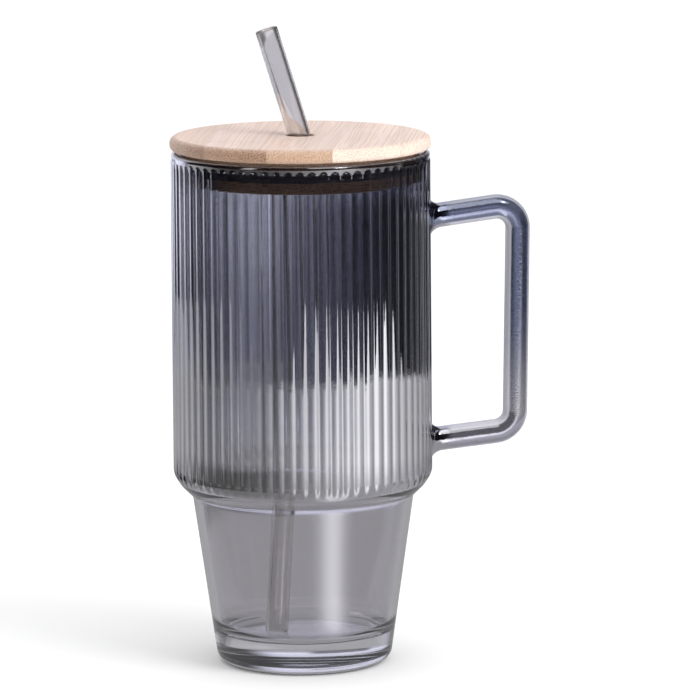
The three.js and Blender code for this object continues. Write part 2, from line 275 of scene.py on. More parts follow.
def weld(mesh: Mesh) -> None:
    """Merges the points that lie on each other, so poles and seams are closed.

    Args:
        mesh: The mesh to close.
    """
    bm = bmesh.new()
    bm.from_mesh(mesh)
    bmesh.ops.remove_doubles(bm, verts=bm.verts, dist=MERGE_DISTANCE)
    bm.to_mesh(mesh)
    bm.free()


def place(made: Object, body: Body, node: str, slot: Slot, *finishes: Material) -> None:
    """Dresses a piece, lets it stand for its CAD node and ride on its body, and reports it.

    Args:
        made: The finished piece.
        body: The body that it moves with.
        node: The CAD node that it stands for.
        slot: The record's material slot; not used.
        finishes: Its materials, in the order of their slots on the mesh.
    """
    for finish in finishes:
        made.data.materials.append(finish)
    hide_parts(node)
    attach(made, body.value)
    LOG.info("%s stands for %s on %s: %d faces", made.name, node, body.value, len(made.data.polygons))


# Materials


def linear(hex_code: str) -> tuple[float, ...]:
    """Turns an sRGB colour into a linear one.

    Args:
        hex_code: The colour, such as #ffffff.

    Returns:
        Red, green, blue and a full alpha.
    """
    srgb = np.array([int(hex_code[i:i + 2], 16) for i in (1, 3, 5)]) / 255
    rgb = np.where(srgb <= 0.04045, srgb / 12.92, ((srgb + 0.055) / 1.055) ** 2.4)
    return (*rgb.tolist(), 1.0)


class Finish:
    """A material's node tree, filled one node at a time."""

    def __init__(self, name: str) -> None:
        """Starts a material with nothing but its output and its shader.

        Args:
            name: The material's name.
        """
        self.material = bpy.data.materials.new(name)
        self.material.use_nodes = True
        self.tree = self.material.node_tree
        self.tree.nodes.clear()
        self.output = self.add("OutputMaterial")
        self.shader = self.add("BsdfPrincipled")
        self.tree.links.new(self.shader.outputs[0], self.output.inputs[0])

    def add(
        self, kind: str, settings: dict[str, Any] | None = None, inputs: dict[Any, Any] | None = None,
    ) -> Node:
        """Adds a node with its settings, and sets or links its inputs.

        Args:
            kind: The node's type, without Blender's prefix.
            settings: Its own properties.
            inputs: Values, output sockets or nodes, by the input's name or number.

        Returns:
            The new node.
        """
        node = self.tree.nodes.new("ShaderNode" + kind)
        for key, value in (settings or {}).items():
            setattr(node, key, value)
        self.connect(node, inputs or {})
        return node

    def connect(self, node: Node, inputs: dict[Any, Any]) -> None:
        """Sets or links the inputs of a node.

        Args:
            node: The node to fill.
            inputs: Values, output sockets, or nodes whose first live output is meant, by name or number.
        """
        for key, value in inputs.items():
            if isinstance(value, Node):
                value = next(socket for socket in value.outputs if socket.enabled)
            if isinstance(value, NodeSocket):
                self.tree.links.new(value, node.inputs[key])
            else:
                node.inputs[key].default_value = value


@dataclass(frozen=True)
class PlatedGlass:
    """Soda-lime glass, pressed and fire polished, with a thin vapour-plated half mirror on its outside.

    The plating reflects like a thin smoky metal and lets the rest of the light through. It lies thicker
    towards the handle's side, and its skin has the ripple and the fine orange peel of pressed glass.
    """

    name: str
    tint: str = "#f1f1f6"
    far_share: float = 0.20       # mirror share on the side away from the handle
    edge_share: float = 0.38      # and how much more there is at its very edge
    near_share: float = 0.95      # and on the handle's side
    foot_share: float = 0.13      # and on the plain foot
    thin_to: float = -34.0        # mm along X, up to where the plating is thin
    thick_from: float = 46.0      # and from where it is thick
    edge_from: float = -24.0      # mm along X, from where it thickens towards the far edge
    edge_to: float = -42.0        # and up to where
    foot_top: float = 64.0        # mm, height where the foot's plating starts to thicken
    barrel_foot: float = 80.0     # mm, height from where the barrel's plating holds
    rim_share: float = 0.3        # mirror share at the rim
    rim_from: float = 166.0       # mm, height where it starts to thin out
    rim_to: float = 176.0         # mm, height from where it is thin
    ripple: float = 5.0           # mm, width of the slow ripples
    ripple_rise: float = 0.008    # mm, their height
    peel: float = 1.0             # mm, grain of the orange peel
    peel_rise: float = 0.0016     # mm, its height
    roughness: float = 0.03

    def material(self) -> Material:
        """Builds the node tree: the mirror share follows X and Z, and ripple and peel bend the normals.

        Returns:
            The finished material.
        """
        finish = Finish(self.name)
        place_in = finish.add("TexCoord").outputs["Object"]
        axes = finish.add("SeparateXYZ", inputs={0: place_in})
        zones = (
            ("X", self.thin_to, self.thick_from, self.far_share, self.near_share),
            ("X", self.edge_from, self.edge_to, 0.0, self.edge_share),
            ("Z", self.rim_from, self.rim_to, 0.0, 1.0),
            ("Z", self.foot_top, self.barrel_foot, 0.0, 1.0),
        )
        across, edge, rim, up = [
            finish.add("MapRange", SMOOTH, {
                "Value": axes.outputs[axis], "From Min": start * MM, "From Max": end * MM,
                "To Min": low, "To Max": high,
            })
            for axis, start, end, low, high in zones
        ]
        plain = finish.add("Mix", NUMBERS, {BY: rim, NUMBER_A: across, NUMBER_B: self.rim_share})
        barrel = finish.add("Math", {"operation": "ADD"}, {0: plain, 1: edge})
        share = finish.add("Mix", NUMBERS, {BY: up, NUMBER_A: self.foot_share, NUMBER_B: barrel})
        skin = {}
        for width, rise in ((self.ripple, self.ripple_rise), (self.peel, self.peel_rise)):
            waves = finish.add("TexNoise", inputs={
                "Vector": place_in, "Scale": 1 / (width * MM), "Detail": 1.0,
            })
            skin = {"Normal": finish.add("Bump", inputs={
                "Strength": 1.0, "Distance": rise * MM, "Height": waves, **skin,
            })}
        finish.connect(finish.shader, {
            "Base Color": linear(self.tint), "Metallic": share, "Roughness": self.roughness,
            "IOR": GLASS_IOR, "Transmission Weight": 1.0, **skin,
        })
        return finish.material


@dataclass(frozen=True)
class PlatedRod:
    """A solid glass rod under a smoky, finely pitted half mirror.

    The plating is worn off the side that faces the gap for the fingers, and thinned along the outer edge as
    a painted highlight.
    These are pale and hazy, and frame a blue-grey core; their haze is painted reflection of the white
    surroundings.
    """

    name: str
    coat_tint: str = "#b2b9d2"
    low_tint: str = "#d6d5dc"     # the plating's tint on the lower arm
    low_to: float = 84.0          # mm, height up to where it has that tint
    high_from: float = 128.0      # and from where it has the other one
    # the pale colour of the bare, hazy glass, part of its painted reflection
    clear_tint: str = "#e4e3ec"
    coat_share: float = 0.45      # mirror share of the plating
    clear_share: float = 0.05     # and of the bare glass
    root_share: float = 0.96      # and close to the mug's wall
    coat_from: float = -0.56      # sine of the angle round the rod, -1 facing the gap, where plating starts
    clear_to: float = -0.68       # and up to where the glass is bare
    edge_from: float = 0.70       # from where the plating thins out towards the outer edge, for a painted highlight
    edge_to: float = 0.86         # and from where it is thinnest
    painted_highlight_thinning: float = 0.75       # share of the plating taken off there, which leaves a pale painted highlight
    haze: float = 0.6             # share of light that the bare glass scatters: painted reflection of the white surroundings
    root_to: float = 50.5         # mm along X, up to where the roots are dark
    arm_from: float = 54.0        # and from where the arms have the plain plating
    pit: float = 0.6              # mm, grain of the pits
    pit_depth: float = 0.04       # mm
    roughness: float = 0.06

    def material(self) -> Material:
        """Builds the node tree: the plating follows the mark round the rod, and pits bend the normals.

        Returns:
            The finished material.
        """
        finish = Finish(self.name)
        place_in = finish.add("TexCoord").outputs["Object"]
        axes = finish.add("SeparateXYZ", inputs={0: place_in})
        mark = finish.add("Attribute", {"attribute_name": "outward"})
        zones = (
            (mark.outputs["Fac"], self.coat_from, self.clear_to, 1.0),
            (mark.outputs["Fac"], self.edge_from, self.edge_to, self.painted_highlight_thinning),
            (axes.outputs["X"], self.root_to * MM, self.arm_from * MM, 1.0),
            (axes.outputs["Z"], self.low_to * MM, self.high_from * MM, 1.0),
        )
        inside, edge, arm, up = [
            finish.add("MapRange", SMOOTH, {
                "Value": by, "From Min": start, "From Max": end, "To Max": most,
            })
            for by, start, end, most in zones
        ]
        # bare glass: the side facing the gap, and the painted highlight along the outer edge
        clear = finish.add("Math", {"operation": "MAXIMUM"}, {0: inside, 1: edge})
        plain = finish.add("Mix", NUMBERS, {
            BY: clear, NUMBER_A: self.coat_share, NUMBER_B: self.clear_share,
        })
        share = finish.add("Mix", NUMBERS, {BY: arm, NUMBER_A: self.root_share, NUMBER_B: plain})
        coat = finish.add("Mix", COLOURS, {
            BY: up, COLOUR_A: linear(self.low_tint), COLOUR_B: linear(self.coat_tint),
        })
        tint = finish.add("Mix", COLOURS, {
            BY: clear, COLOUR_A: coat, COLOUR_B: linear(self.clear_tint),
        })
        pits = finish.add("TexNoise", inputs={
            "Vector": place_in, "Scale": 1 / (self.pit * MM), "Detail": 1.0,
        })
        skin = finish.add("Bump", inputs={
            "Strength": 1.0, "Distance": self.pit_depth * MM, "Height": pits,
        })
        # painted reflection: the bare glass scatters pale light where it would pass it
        through = finish.add("Mix", NUMBERS, {BY: clear, NUMBER_A: 1.0, NUMBER_B: 1 - self.haze})
        finish.connect(finish.shader, {
            "Base Color": tint, "Metallic": share, "Roughness": self.roughness,
            "IOR": GLASS_IOR, "Transmission Weight": through, "Normal": skin,
        })
        return finish.material


@dataclass(frozen=True)
class SmokedGlass:
    """The inside of the mug: smooth bare glass, bluer where the plating on the outside is thick."""

    name: str
    foot_tint: str = "#eae8eb"    # what passes through the foot
    far_tint: str = "#eef0f6"     # through the barrel away from the handle
    near_tint: str = "#dfe2f2"    # and towards the handle
    half_width: float = 30.0      # mm from the axis to where these tints are reached
    foot_top: float = 64.0        # mm, height where the foot's tint ends
    barrel_foot: float = 80.0     # mm, height from where the barrel's tint holds
    painted_shade_tint: str = "#45433b"    # painted shade: a dark band on the inside of the shoulder's front
    painted_shade_foot: float = 63.0       # mm, height of its lower edge
    painted_shade_top: float = 79.0        # mm, height of its upper edge
    painted_shade_blur: float = 5.0        # mm over which each of them fades
    painted_shade_fade: float = 30.0       # mm along X, where it has faded away towards the handle
    roughness: float = 0.0

    def material(self) -> Material:
        """Builds the node tree: the tint follows X on the barrel, with a band of painted shade inside the
        shoulder's front.

        Returns:
            The finished material.
        """
        finish = Finish(self.name)
        place_in = finish.add("TexCoord").outputs["Object"]
        axes = finish.add("SeparateXYZ", inputs={0: place_in})
        zones = (
            ("X", -self.half_width, self.half_width),
            ("Z", self.foot_top, self.barrel_foot),
            ("Z", self.painted_shade_foot, self.painted_shade_foot + self.painted_shade_blur),
            ("Z", self.painted_shade_top, self.painted_shade_top - self.painted_shade_blur),
            ("X", self.painted_shade_fade, -self.half_width),
            ("Y", 0.0, -self.half_width / 2),
        )
        across, up, shade_band, *sides = [
            finish.add("MapRange", SMOOTH, {
                "Value": axes.outputs[axis], "From Min": start * MM, "From Max": end * MM,
            })
            for axis, start, end in zones
        ]
        for side in sides:
            shade_band = finish.add("Math", TIMES, {0: shade_band, 1: side})
        barrel = finish.add("Mix", COLOURS, {
            BY: across, COLOUR_A: linear(self.far_tint), COLOUR_B: linear(self.near_tint),
        })
        plain = finish.add("Mix", COLOURS, {BY: up, COLOUR_A: linear(self.foot_tint), COLOUR_B: barrel})
        # painted shade: the dark band is mixed into the glass's own tint, only on the front half and away
        # from the handle
        tint = finish.add("Mix", COLOURS, {BY: shade_band, COLOUR_A: plain, COLOUR_B: linear(self.painted_shade_tint)})
        finish.connect(finish.shader, {
            "Base Color": tint, "Roughness": self.roughness, "IOR": GLASS_IOR, "Transmission Weight": 1.0,
        })
        return finish.material


@dataclass(frozen=True)
class DrawnGlass:
    """A drawn and fire-polished glass tube: clear with a faint grey shine, and a trace of ripple."""

    name: str
    tint: str = "#f6f4f2"
    plating: float = 0.06         # mirror share of its faint grey coat
    haze: float = 0.05            # share of light that the glass scatters
    ripple: float = 5.0           # mm, width of the ripples
    ripple_rise: float = 0.008    # mm, their height
    roughness: float = 0.03

    def material(self) -> Material:
        """Builds the node tree: even glass whose normals the ripple bends.

        Returns:
            The finished material.
        """
        finish = Finish(self.name)
        place_in = finish.add("TexCoord").outputs["Object"]
        ripple = finish.add("TexNoise", inputs={"Vector": place_in, "Scale": 1 / (self.ripple * MM)})
        waves = finish.add("Bump", inputs={
            "Strength": 1.0, "Distance": self.ripple_rise * MM, "Height": ripple,
        })
        finish.connect(finish.shader, {
            "Base Color": linear(self.tint), "Metallic": self.plating, "Roughness": self.roughness,
            "IOR": GLASS_IOR, "Transmission Weight": 1 - self.haze, "Normal": waves,
        })
        return finish.material


@dataclass(frozen=True)
class Bamboo:
    """Glued bamboo, planed and sanded: long fibre bundles in pale pith.

    They show as fine streaks along the grain, and as brown dots where the rim cuts across them.
    """

    name: str
    pith: str = "#e3cec3"         # the pale ground on faces along the grain
    end_pith: str = "#d2b193"     # and where the rim cuts across the grain
    bundle: str = "#d8b9a8"       # fibre bundles along the grain
    end_bundle: str = "#a2764f"   # and cut across
    shift: float = 0.0            # mm, so that neighbouring strips don't share their streaks
    bundle_spacing: float = 0.62  # mm between fibre bundles
    wander: float = 3.0           # bundle spacings that a bundle strays along its length
    wander_length: float = 45.0   # mm over which it strays
    dot_edge: float = 0.44        # bundle spacings from the middle of a bundle to its edge
    dot_core: float = 0.12        # and to where it has its full colour
    dot_rise: float = 0.006       # mm, how far it stands out after sanding
    end_power: float = 0.6        # under 1, the cut look reaches further round from the ends
    streak: float = 0.22          # mm, width of the finest fibres
    streak_stretch: float = 0.006  # their width by their length
    shade_width: float = 6.0      # mm, width of the broad light and dark streaks
    shade_stretch: float = 0.05   # their width by their length
    dark_tone: float = 0.93       # of the darkest streaks
    light_tone: float = 1.05      # and of the lightest
    joint_at: float | None = None  # mm along the grain, where the culm had a joint
    joint_mottle: float = 2.2     # mm, grain of the joint's mottled line
    joint_stray: float = 7.0      # mm that the line strays
    joint_width: float = 1.4      # mm, half its width
    joint_tone: float = 0.87
    roughness: float = 0.55

    def material(self) -> Material:
        """Builds the node tree: cells across the grain stray slowly along it, in a ground of streaks.

        Returns:
            The finished material.
        """
        finish = Finish(self.name)
        place_in = finish.add("TexCoord").outputs["Object"]
        turn = -math.radians(GRAIN_ANGLE)
        grain = finish.add("Mapping", inputs={
            "Vector": place_in, "Rotation": (0.0, 0.0, turn), "Location": (0.0, self.shift * MM, 0.0),
        })
        fine = 1 / (self.bundle_spacing * MM)
        section = finish.add("Mapping", inputs={
            "Vector": grain, "Scale": (fine, 0.0, fine), "Rotation": (-math.pi / 2, 0.0, 0.0),
        })
        slow = 1 / (self.wander_length * MM)
        path = finish.add("TexNoise", inputs={"Vector": grain, "Scale": slow, "Detail": 2.0})
        cells = finish.add("VectorMath", {"operation": "MULTIPLY_ADD"}, {
            0: path.outputs["Color"], 1: (self.wander, self.wander, 0.0), 2: section,
        })
        bundle = finish.add("TexVoronoi", {"voronoi_dimensions": "2D"}, {"Vector": cells, "Scale": 1.0})
        dots = finish.add("MapRange", SMOOTH, {
            "Value": bundle.outputs["Distance"], "From Min": self.dot_edge, "From Max": self.dot_core,
        })
        grain_axis = (math.sin(turn), math.cos(turn), 0.0)
        facing = finish.add("VectorMath", {"operation": "DOT_PRODUCT"}, {
            0: finish.add("NewGeometry").outputs["Normal"], 1: grain_axis,
        })
        cut = finish.add("Math", {"operation": "ABSOLUTE"}, {0: facing.outputs["Value"]})
        across = finish.add("Math", {"operation": "POWER"}, {0: cut, 1: self.end_power})
        ground = finish.add("Mix", COLOURS, {
            BY: across, COLOUR_A: linear(self.pith), COLOUR_B: linear(self.end_pith),
        })
        fibres = finish.add("Mix", COLOURS, {
            BY: across, COLOUR_A: linear(self.bundle), COLOUR_B: linear(self.end_bundle),
        })
        mixed = finish.add("Mix", COLOURS, {BY: dots, COLOUR_A: ground, COLOUR_B: fibres})
        tone = None
        for width, stretch, detail in (
            (self.streak, self.streak_stretch, 2.0), (self.shade_width, self.shade_stretch, 3.0),
        ):
            scale = 1 / (width * MM)
            drawn = finish.add("Mapping", inputs={
                "Vector": grain, "Scale": (scale, stretch * scale, scale),
            })
            noise = finish.add("TexNoise", inputs={"Vector": drawn, "Scale": 1.0, "Detail": detail})
            streaks = finish.add("MapRange", inputs={
                "Value": noise, "From Min": NOISE_LOW, "From Max": NOISE_HIGH,
                "To Min": self.dark_tone, "To Max": self.light_tone,
            })
            tone = finish.add("Math", TIMES, {0: tone, 1: streaks}) if tone else streaks
        if self.joint_at is not None:
            tone = finish.add("Math", TIMES, {0: tone, 1: self.joint_mark(finish, grain)})
        toned = finish.add("VectorMath", {"operation": "SCALE"}, {0: mixed, "Scale": tone})
        bump = finish.add("Bump", inputs={
            "Strength": 1.0, "Distance": self.dot_rise * MM, "Height": dots,
        })
        finish.connect(finish.shader, {
            "Base Color": toned, "Roughness": self.roughness, "Normal": bump,
        })
        return finish.material

    def joint_mark(self, finish: Finish, grain: Node) -> Node:
        """A mottled line across the grain, where the culm had a joint.

        Args:
            finish: The material in the making.
            grain: Coordinates across and along the grain.

        Returns:
            The tone, darker on the line and 1 elsewhere.
        """
        mottle = finish.add("TexNoise", inputs={
            "Vector": grain, "Scale": 1 / (self.joint_mottle * MM), "Detail": 3.0,
        })
        axes = finish.add("SeparateXYZ", inputs={0: grain})
        off = finish.add("Math", {"operation": "SUBTRACT"}, {
            0: axes.outputs["Y"], 1: (self.joint_at + self.shift + self.joint_stray / 2) * MM,
        })
        stray = finish.add("Math", {"operation": "MULTIPLY_ADD"}, {
            0: mottle, 1: self.joint_stray * MM, 2: off,
        })
        wide = finish.add("Math", {"operation": "ABSOLUTE"}, {0: stray})
        return finish.add("MapRange", SMOOTH, {
            "Value": wide, "From Min": 0.0, "From Max": self.joint_width * MM,
            "To Min": self.joint_tone, "To Max": 1.0,
        })


def strip_woods() -> list[Material]:
    """Makes a bamboo for each strip of the lid: browner and coarser on the far side from the handle, with
    cut faces partly darkened there as painted shade and paler on the handle's side as painted light.

    Returns:
        The materials, from the far side to the handle's side.
    """
    jointed = {"bundle_spacing": 0.68, "joint_at": -21.0}
    # painted light: the last two strips' cut faces are as pale as their tops
    pale = {"pith": "#e6d2c7", "end_pith": "#e6d2c4", "end_bundle": "#d2b299"}
    culms = {
        # painted shade: the first two strips' cut faces are darker than their own tone
        "brown": {"pith": "#dfc8bb", "end_pith": "#8f6f58", "end_bundle": "#553a26", **jointed},
        "jointed": {"end_pith": "#a58268", "end_bundle": "#6b4a33", **jointed},
        "tan": {"end_pith": "#bfa18a"},
        "pale": pale,
        "outer": pale,
    }
    return [
        Bamboo(f"sanded bamboo, {culm} culm", shift=STRIP_SHIFT * number, **look).material()
        for number, (culm, look) in enumerate(culms.items())
    ]


@dataclass(frozen=True)
class Silicone:
    """Moulded food-grade silicone, mid grey, with a dull skin and a trace of mould texture."""

    name: str
    colour: str = "#6d686b"
    grit: float = 0.3             # mm, coarser than a real mould's so that it shows
    grit_rise: float = 0.02       # mm
    grit_strength: float = 0.1    # share of that rise that is used
    roughness: float = 0.5

    def material(self) -> Material:
        """Builds the node tree: one grey that a fine grit breaks up.

        Returns:
            The finished material.
        """
        finish = Finish(self.name)
        place_in = finish.add("TexCoord").outputs["Object"]
        grit = finish.add("TexNoise", inputs={"Vector": place_in, "Scale": 1 / (self.grit * MM)})
        bump = finish.add("Bump", inputs={
            "Strength": self.grit_strength, "Distance": self.grit_rise * MM, "Height": grit,
        })
        finish.connect(finish.shader, {
            "Base Color": linear(self.colour), "Roughness": self.roughness, "Normal": bump,
        })
        return finish.material


# Pieces


@dataclass
class GlassBody:
    """The mug's own glass: a reeded barrel on a plain tapered foot, with a thick base."""

    radius: float
    height: float
    foot_height: float = 60.2
    shoulder_drop: float = 6.1
    shoulder_step: float = 6.5
    shoulder_round: float = 9.0
    neck_round: float = 3.0
    foot_taper: float = 8.6
    foot_round: float = 4.5
    wall: float = 3.0
    base: float = 11.0
    floor_round: float = 6.0
    rim_gap: float = 0.9          # the rim stays this far below the lid, which hangs on its seal
    lip_round: float = 1.2
    swell: float = 0.25           # how far the barrel swells out just above its shoulder
    swell_rise: float = 4.0       # shoulder corner up to the widest place
    swell_length: float = 5.0     # from there to where little is left of it
    reed_count: int = 70
    reed_depth: float = 0.56      # crest to valley
    reed_top_gap: float = 3.3     # lid down to the top of the reeds
    reed_foot_gap: float = -0.8   # shoulder corner up to the foot of the reeds
    arch: float = 2.6             # how far the valleys stop short of the reeds' round tops
    arch_power: float = 4.0       # 2 for an ellipse, more for a flatter arch
    runout: float = 0.5           # length over which a reed rises from the plain glass at its top
    foot_arch: float = 1.2        # how far the valleys stop short of the reeds' feet
    foot_runout: float = 3.2      # length over which a reed sinks into the shoulder
    bead_inset: float = 0.08      # how far the bead lies below the crests
    shoulder_drawn: float = 0.3   # how far the plain shoulder lies below the crests
    valley_round: float = 0.1     # softness of the valleys, as a share of the depth
    columns_per_reed: int = 10
    rows_per_end: int = 24
    inner_steps: int = 7          # chords in each round of the inside

    @classmethod
    def from_frame(cls) -> GlassBody:
        """Takes the radius over the crests and the height from the CAD solid."""
        _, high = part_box("glass_body")
        return cls(radius=high.y / MM, height=high.z / MM)

    @property
    def shoulder_z(self) -> float:
        """Height of the shoulder's outer corner."""
        return self.foot_height + self.shoulder_drop

    @property
    def rim(self) -> float:
        """Height of the glass rim."""
        return self.height - self.rim_gap

    @property
    def outer_corners(self) -> list[Triple]:
        """The outside's profile.

        Returns:
            Its corners as (radius, height, round), from the table to the middle of the rim.
        """
        neck = self.radius - self.shoulder_step
        return [
            (0, 0, 0),
            (neck - self.foot_taper, 0, self.foot_round),
            (neck, self.foot_height, self.neck_round),
            (self.radius, self.shoulder_z, self.shoulder_round),
            (self.radius, self.rim, self.lip_round),
            (self.radius - self.wall / 2, self.rim, 0),
        ]

    @property
    def inner_corners(self) -> list[Triple]:
        """The inside's profile: the outside moved in by the wall, down to the floor on its thick base.

        Returns:
            Its corners as (radius, height, round), from the middle of the rim to the middle of the floor.
        """
        places = np.array([corner[:2] for corner in self.outer_corners])[1:5]
        steps = unit(np.diff(places, axis=0))
        inward = np.stack([-steps[:, 1], steps[:, 0]], axis=1)
        spread = (inward[:-1] * inward[1:]).sum(axis=1, keepdims=True)
        neck, shoulder = places[1:3] + self.wall * (inward[:-1] + inward[1:]) / (1 + spread)
        foot = places[0] + self.wall * inward[0]
        floor = foot + steps[0] * (self.base - foot[1]) / steps[0][1]
        return [
            (self.radius - self.wall / 2, self.rim, 0),
            (self.radius - self.wall, self.rim, self.lip_round),
            (*shoulder, self.shoulder_round - self.wall),
            (*neck, self.neck_round + self.wall),
            (*floor, self.floor_round),
            (0, self.base, 0),
        ]

    def relief(self, angle: np.ndarray, z: np.ndarray) -> np.ndarray:
        """How far the outside stands out from its smooth profile.

        A reed is |cos| of half its own turn, softened where it is 0, so its crest is round and its valleys
        are almost creased, and a crest faces the handle. Its ends are arches: 1 - (1 - |2s|^p)^(1/p) of
        the arch's rise, s being the share of a pitch off the crest.

        Args:
            angle: Angles round the axis, a row.
            z: Heights, a column.

        Returns:
            The relief in millimetres, one row for each height.
        """
        turn = angle * self.reed_count / (2 * np.pi)
        share = turn - np.round(turn)
        hollow = self.valley_round
        crest = np.sqrt(np.cos(np.pi * share) ** 2 + hollow ** 2) - hollow
        reed = -self.reed_depth * (1 - crest / (np.sqrt(1 + hollow ** 2) - hollow))
        power = self.arch_power
        bow = 1 - np.clip(1 - np.abs(2 * share) ** power, 0, 1) ** (1 / power)
        top = self.height - self.reed_top_gap - self.arch * bow
        foot = self.shoulder_z + self.reed_foot_gap + self.foot_arch * bow
        inside = ease(top - z, 0, self.runout) * ease(z - foot, 0, self.foot_runout)
        bead = self.rim - self.lip_round
        below_bead = (bead - z) / (bead - self.height + self.reed_top_gap + self.arch)
        drawn = self.bead_inset + (self.reed_depth - self.bead_inset) * np.clip(below_bead, 0, 1)
        low = self.shoulder_drawn * ease(z, self.foot_height, self.shoulder_z)
        plain = -np.where(z > self.height / 2, drawn, low)
        swell = self.swell * np.exp(-((z - self.shoulder_z - self.swell_rise) / self.swell_length) ** 2)
        return swell + plain + inside * (reed - plain)

    def build(self, plating: Material, bare: Material) -> None:
        """Makes the body: a profile carried round the axis, with the reeds' relief added to the radius.

        Args:
            plating: The finish of the outside.
            bare: The finish of the inside.
        """
        side = rounded(self.outer_corners)[1:-1]
        ends = np.linspace(0, 1, self.rows_per_end)
        foot_rows = self.shoulder_z + self.reed_foot_gap + ends * (self.foot_arch + self.foot_runout)
        top_rows = self.height - self.reed_top_gap - ends * (self.arch + self.runout)
        climbing = side[:, 1] > 0
        flat, wall = side[~climbing], side[climbing]
        heights = np.unique(np.concatenate([wall[:, 1], foot_rows, top_rows]).round(4))
        wall = np.stack([np.interp(heights, wall[:, 1], wall[:, 0]), heights], axis=1)
        inner = rounded(self.inner_corners, self.inner_steps)[1:]
        profile = np.vstack([[[0, 0]], flat, wall, inner])
        columns = self.reed_count * self.columns_per_reed
        angle = np.linspace(0, 2 * np.pi, columns, endpoint=False)[None, :]
        relief = np.zeros((len(profile), columns))
        first, last = 1 + len(flat), 1 + len(flat) + len(wall)
        relief[first:last] = self.relief(angle, heights[:, None])
        grid = turned(profile, columns)
        radial = np.stack([np.cos(angle), np.sin(angle), 0 * angle], axis=-1)
        grid += relief[..., None] * radial
        made = grid_object("reeded_glass_body", grid, inner_from=last)
        place(made, Body.MUG, "glass_body", Slot.SMOKED_GLASS, plating, bare)


@dataclass
class GlassHandle:
    """A bent glass rod whose two ends flare out where they are fused to the barrel."""

    body: GlassBody
    diameter: float = 8.74
    upper_reach: float = 32.1     # wall to the middle of the upright bar at its top corner
    lower_reach: float = 30.8     # and at its bottom corner
    rim_drop: float = 25.4        # rim down to the middle of the upper root
    shoulder_rise: float = 11.9   # shoulder corner up to the middle of the lower root
    corner: float = 7.7           # centreline radius of the bends
    upper_slope: float = 7.0      # degrees, the arms climb away from the wall
    lower_slope: float = 5.6
    flare: float = 3.8            # how much the rod widens at the wall
    sunk: float = 0.6             # how far the roots reach into the reeds
    flare_lead: float = 1.0       # plain rod that the close rows of each flare go on for
    flare_rows: int = 26
    bend_steps: int = 24
    columns: int = 64

    def centreline(self) -> np.ndarray:
        """The rod's middle line, in the plane y = 0.

        Returns:
            Its points, from the upper root to the lower one.
        """
        wall = self.body.radius - self.sunk
        rise = math.tan(math.radians(self.upper_slope))
        fall = math.tan(math.radians(self.lower_slope))
        top = self.body.height - self.rim_drop
        foot = self.body.shoulder_z + self.shoulder_rise
        flat = rounded([
            (wall, top - self.sunk * rise, 0),
            (self.body.radius + self.upper_reach, top + self.upper_reach * rise, self.corner),
            (self.body.radius + self.lower_reach, foot + self.lower_reach * fall, self.corner),
            (wall, foot - self.sunk * fall, 0),
        ], self.bend_steps)
        return np.insert(flat, 1, 0, axis=1)

    def build(self, plating: Material) -> None:
        """Makes the handle: rings along the centreline, wider by a quarter-round flare at each root.

        Args:
            plating: The finish of its surface.
        """
        path = self.centreline()
        travelled = lengths_along(path)
        near = np.linspace(0, self.flare + self.sunk + self.flare_lead, self.flare_rows)
        stations = np.unique(np.concatenate([near, travelled, travelled[-1] - near]).round(4))
        to_wall = np.minimum(stations, travelled[-1] - stations) - self.sunk
        share = np.clip(1 - to_wall / self.flare, 0, 1)
        radii = self.diameter / 2 + self.flare * (1 - np.sqrt(1 - share ** 2))
        centres = along(path, stations)
        tangents = unit(np.gradient(centres, stations, axis=0))
        outward = np.array([1.0, 0.0, 0.0]) * np.sign(tangents[:, :1])
        square = ease(to_wall, 0, self.flare)[:, None]
        tangents = unit(outward + square * (tangents - outward))
        grid = carried(centres, tangents, np.array([0.0, 1.0, 0.0]), radii, self.columns)
        bow = self.body.radius - np.sqrt(np.clip(self.body.radius ** 2 - grid[..., 1] ** 2, 0, None))
        grid[..., 0] -= bow * (1 - square)
        caps = [np.repeat(centres[[end], None], self.columns, axis=1) for end in (0, -1)]
        grid = np.concatenate([caps[0], grid, caps[1]])
        round_rod = np.sin(np.linspace(0, 2 * np.pi, self.columns, endpoint=False))
        made = grid_object("bent_glass_handle", grid, outward=np.tile(round_rod, (len(grid), 1)))
        place(made, Body.MUG, "glass_handle", Slot.SMOKED_GLASS, plating)


